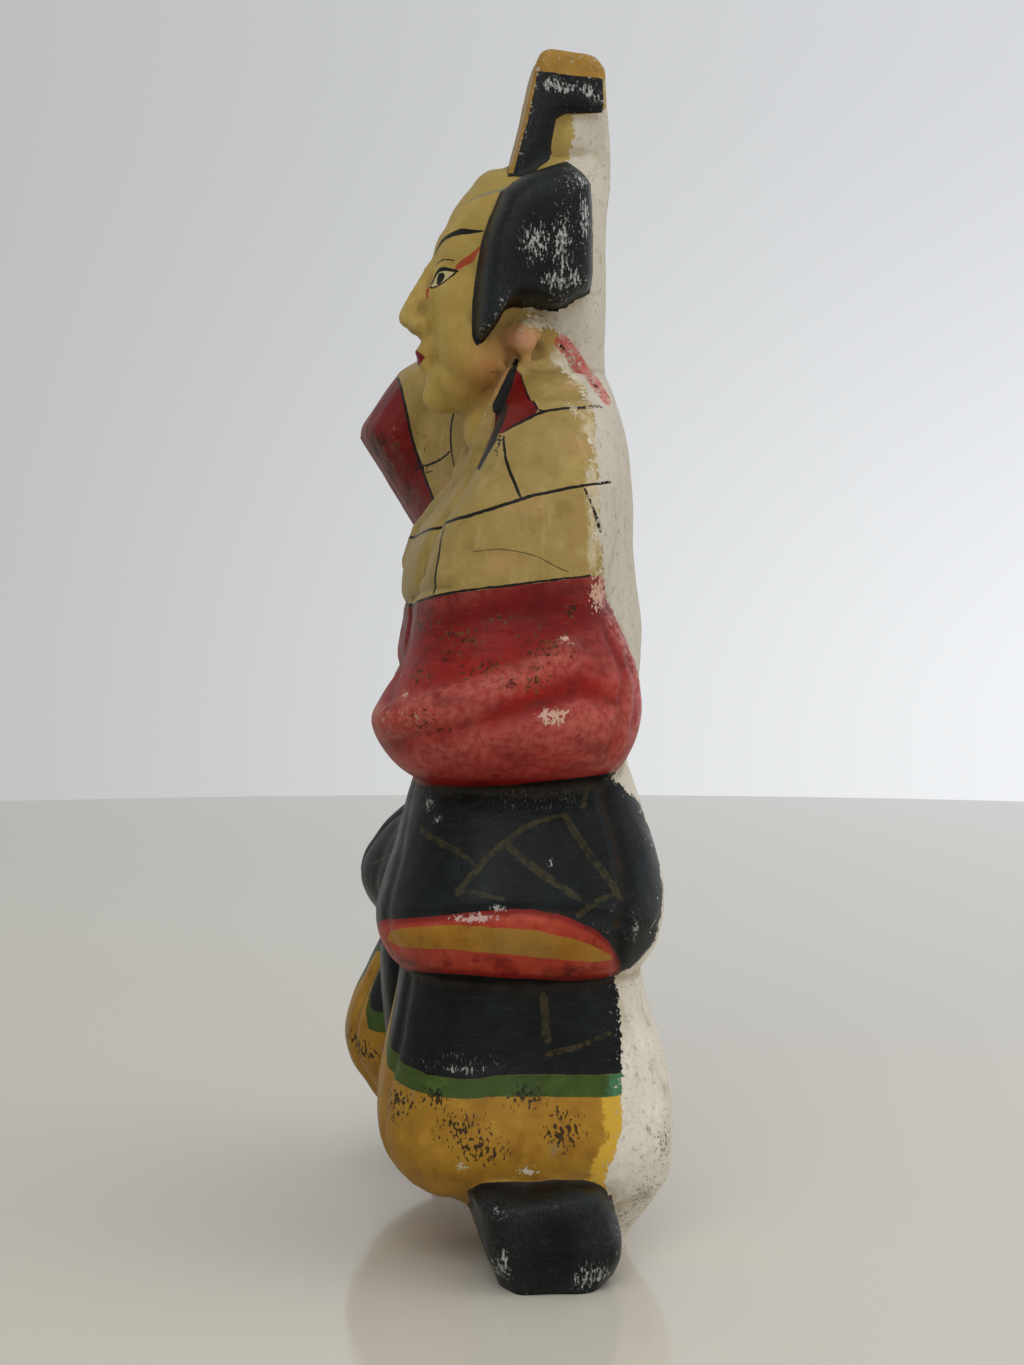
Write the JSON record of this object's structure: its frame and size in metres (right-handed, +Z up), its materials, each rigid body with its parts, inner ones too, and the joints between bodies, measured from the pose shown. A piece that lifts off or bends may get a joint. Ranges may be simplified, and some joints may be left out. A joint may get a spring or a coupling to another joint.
{
  "type": "clay kabuki doll",
  "caption": "Moulded and painted clay stage-actor figure in a wide stance, one fist raised, with a flared robe, side-hair wings and an upright topknot. It stands on its two soles.",
  "frame": {"origin": "middle of the figure's width and depth, on the surface it stands on", "axes": "+Z up, -Y the way the figure faces, +X towards its own left side"},
  "size_m": [0.1998, 0.092, 0.3567],
  "materials": {
    "painted_clay": null
  },
  "bodies": {
    "root": {"kabuki_doll": "painted_clay"}
  },
  "joints": []
}
